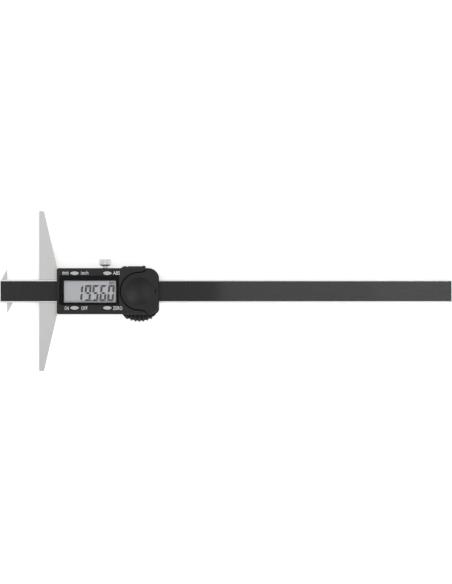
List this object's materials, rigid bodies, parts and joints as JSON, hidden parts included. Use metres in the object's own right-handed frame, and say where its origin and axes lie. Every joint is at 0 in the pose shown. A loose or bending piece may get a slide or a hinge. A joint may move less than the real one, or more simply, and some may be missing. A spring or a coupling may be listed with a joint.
{
  "type": "digital depth gauge",
  "caption": "Digital depth gauge: tapered steel base and slider with display, keys and lock screw, running on a long flat beam with a double hook.",
  "frame": {"origin": "middle of the base's measuring face: on the beam's centreline, half way through the base's thickness", "axes": "+X from the measuring face along the beam to its tail, +Y along the base towards the lock screw, +Z out of the display"},
  "size_m": [0.3164, 0.112, 0.0155],
  "materials": {
    "base_steel": "satin ground and satin chromed steel",
    "frame_steel": "ground steel, satin",
    "beam_steel": "fine ground steel edges",
    "scale_laminate": "glass fibre circuit laminate",
    "scale_face": "glossy black protective film",
    "hook_steel": "hardened steel, satin",
    "screw_steel": "nickel plated screws",
    "black_screw": "blackened steel screws",
    "gib_bronze": "phosphor bronze leaf",
    "lock_chrome": "chromed, knurled",
    "shell_plastic": "fine grained moulded plastic",
    "lid_plastic": "fine grained moulded plastic",
    "cover_plastic": "moulded plastic",
    "window_clear": "polished clear plastic",
    "holder_plastic": "moulded plastic",
    "lcd_glass": "liquid crystal cell",
    "reflector_foil": "brushed foil",
    "connector_rubber": "striped conductive rubber",
    "board_laminate": "green solder mask",
    "chip_resin": "black potting resin",
    "part_ceramic": "ceramic chips",
    "key_plastic": "light grey moulded keys",
    "dome_rubber": "silicone rubber",
    "cell_steel": "nickelled steel can",
    "contact_spring": "gold flashed spring strip"
  },
  "bodies": {
    "slider": {"base_bridge": "base_steel", "slider_frame": "frame_steel", "gib_strip": "gib_bronze", "gib_screws": "screw_steel", "rear_housing": "shell_plastic", "front_housing": "shell_plastic", "display_window": "window_clear", "display_holder": "holder_plastic", "lcd_panel": "lcd_glass", "lcd_reflector": "reflector_foil", "zebra_strips": "connector_rubber", "main_board": "board_laminate", "board_chip": "chip_resin", "board_parts": "part_ceramic", "board_screws": "screw_steel", "button_mats": "dome_rubber", "coin_cell": "cell_steel", "plus_contact": "contact_spring", "minus_contact": "contact_spring", "port_contacts": "contact_spring", "shell_screws": "black_screw", "base_screws": "screw_steel"},
    "beam": {"beam": "beam_steel", "scale_board": "scale_laminate", "scale_film": "scale_face", "hook_plate": "hook_steel", "hook_screws": "screw_steel", "tail_stop": "hook_steel", "tail_screws": "screw_steel"},
    "lock_screw": {"lock_screw": "lock_chrome"},
    "unit_button": {"unit_button": "key_plastic"},
    "abs_button": {"abs_button": "key_plastic"},
    "power_button": {"power_button": "key_plastic"},
    "zero_button": {"zero_button": "key_plastic"},
    "battery_lid": {"battery_lid": "lid_plastic"},
    "port_cover": {"port_cover": "cover_plastic"}
  },
  "joints": [
    {"name": "beam_slide", "type": "slide", "parent": "slider", "child": "beam", "axis": [1, 0, 0], "range_m": [-0.2009, 0.0179]},
    {"name": "lock_turn", "type": "hinge", "parent": "slider", "child": "lock_screw", "pos_m": [0.0462, 0, 0.00115], "axis": [0, -1, 0], "range_deg": [-360, 70]},
    {"name": "unit_press", "type": "slide", "parent": "slider", "child": "unit_button", "axis": [0, 0, -1], "range_m": [0, 0.0004], "stiffness_N_per_m": 800},
    {"name": "abs_press", "type": "slide", "parent": "slider", "child": "abs_button", "axis": [0, 0, -1], "range_m": [0, 0.0004], "stiffness_N_per_m": 800},
    {"name": "power_press", "type": "slide", "parent": "slider", "child": "power_button", "axis": [0, 0, -1], "range_m": [0, 0.0004], "stiffness_N_per_m": 800},
    {"name": "zero_press", "type": "slide", "parent": "slider", "child": "zero_button", "axis": [0, 0, -1], "range_m": [0, 0.0004], "stiffness_N_per_m": 800},
    {"name": "lid_slide", "type": "slide", "parent": "slider", "child": "battery_lid", "axis": [1, 0, 0], "range_m": [0, 0.028]},
    {"name": "port_cover_slide", "type": "slide", "parent": "slider", "child": "port_cover", "axis": [-1, 0, 0], "range_m": [0, 0.008]}
  ]
}
